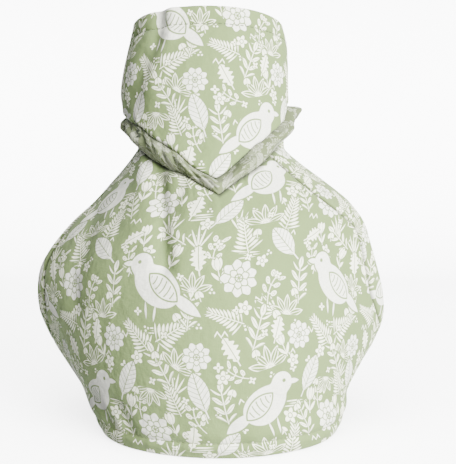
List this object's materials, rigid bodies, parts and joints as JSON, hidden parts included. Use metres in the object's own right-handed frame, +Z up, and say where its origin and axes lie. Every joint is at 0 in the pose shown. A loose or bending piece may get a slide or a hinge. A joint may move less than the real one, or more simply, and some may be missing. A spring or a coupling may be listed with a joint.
{
  "type": "tea cosy",
  "caption": "Padded cloth tea cosy: a hollow body that drapes round a round pot, slits at both sides for spout and handle, a gathered neck band and an open upright collar.",
  "frame": {"origin": "middle of the object's box, on the plane that the hem stands on", "axes": "+X to the right seen from the front, from the spout slit to the handle slit, +Y to the back, +Z up along the neck"},
  "size_m": [0.2004, 0.1622, 0.229],
  "materials": {
    "printed_cotton": "matt cotton, sage green with an off-white leaf and flower print",
    "facing_cotton": "matt cotton, cut from another place of the same print",
    "gathered_cotton": "matt cotton, closely gathered and crinkled",
    "collar_cotton": "matt cotton, sage green with the same print"
  },
  "bodies": {
    "root": {"body_front": "printed_cotton", "body_back": "printed_cotton", "facing_front_left": "facing_cotton", "facing_front_right": "facing_cotton", "facing_back_left": "facing_cotton", "facing_back_right": "facing_cotton", "neck_band": "gathered_cotton", "collar": "collar_cotton"}
  },
  "joints": []
}
